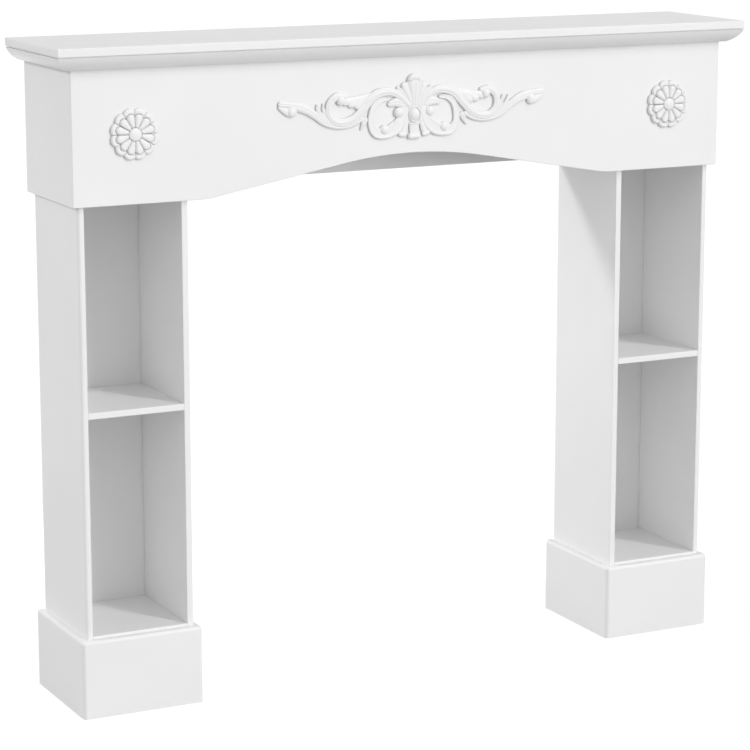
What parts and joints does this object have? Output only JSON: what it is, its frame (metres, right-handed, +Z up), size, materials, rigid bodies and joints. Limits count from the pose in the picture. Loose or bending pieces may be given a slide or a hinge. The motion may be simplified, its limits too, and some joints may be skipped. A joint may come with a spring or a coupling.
{
  "type": "fireplace mantelpiece",
  "caption": "White painted fireplace surround with a moulded shelf, arched frieze with scroll ornament and rosettes, and open-niche columns on plinths, standing on the floor.",
  "frame": {"origin": "on the floor, under the middle of the piece's plan", "axes": "+X to the right as one faces the piece, +Y to the wall, +Z up"},
  "size_m": [1.2, 0.233, 1.039],
  "materials": {
    "painted_board": "white satin lacquer on fibreboard",
    "painted_board_inside": "white lacquer on fibreboard, thinner coat on hidden sides",
    "painted_carving": "white satin lacquer over a moulded wood-fibre appliqué"
  },
  "bodies": {
    "root": {"mantel_shelf": "painted_board", "crown_moulding_front": "painted_board", "crown_moulding_left": "painted_board", "crown_moulding_right": "painted_board", "frieze_front": "painted_board", "frieze_side_left": "painted_board", "frieze_side_right": "painted_board", "frieze_rear_rail": "painted_board_inside", "scroll_ornament": "painted_carving", "rosette_left": "painted_carving", "rosette_right": "painted_carving", "column_left_outer_panel": "painted_board", "column_left_inner_panel": "painted_board", "column_left_back_panel": "painted_board", "column_left_niche_floor": "painted_board", "column_left_middle_shelf": "painted_board", "column_left_niche_top": "painted_board_inside", "column_right_outer_panel": "painted_board", "column_right_inner_panel": "painted_board", "column_right_back_panel": "painted_board", "column_right_niche_floor": "painted_board", "column_right_middle_shelf": "painted_board", "column_right_niche_top": "painted_board_inside", "plinth_left": "painted_board", "plinth_right": "painted_board"}
  },
  "joints": []
}
